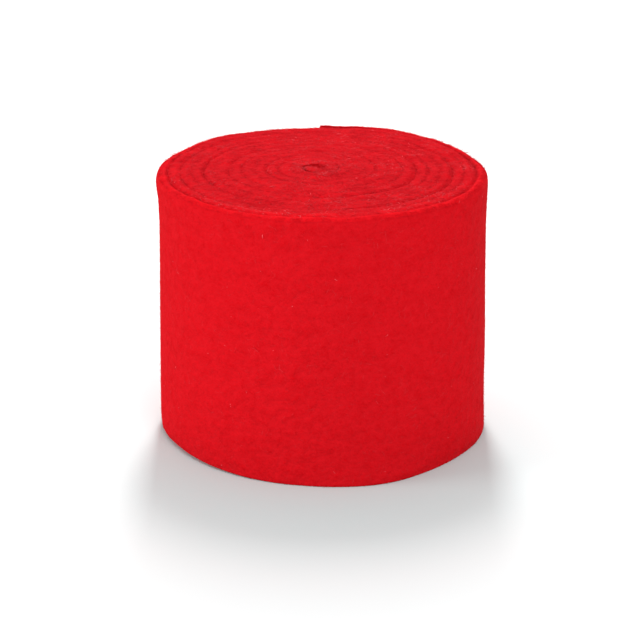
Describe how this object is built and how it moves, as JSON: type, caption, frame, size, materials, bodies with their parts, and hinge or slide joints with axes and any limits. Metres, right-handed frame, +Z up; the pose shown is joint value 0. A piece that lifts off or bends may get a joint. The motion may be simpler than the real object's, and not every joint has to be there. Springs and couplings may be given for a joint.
{
  "type": "roll of felt",
  "caption": "Long strip of thick red wool felt, wound into a squat roll that stands on its cut edge, with its outer end lying at the back.",
  "frame": {"origin": "middle of the roll's footprint, on the surface that it stands on", "axes": "+Z up along the roll, +Y to the back, where the outer end of the strip lies, +X to the right as seen from the front"},
  "size_m": [0.1836, 0.1856, 0.152],
  "materials": {
    "felt": "matt, fuzzy needled wool felt with fine matted fibres"
  },
  "bodies": {
    "root": {"felt_roll": "felt"}
  },
  "joints": []
}
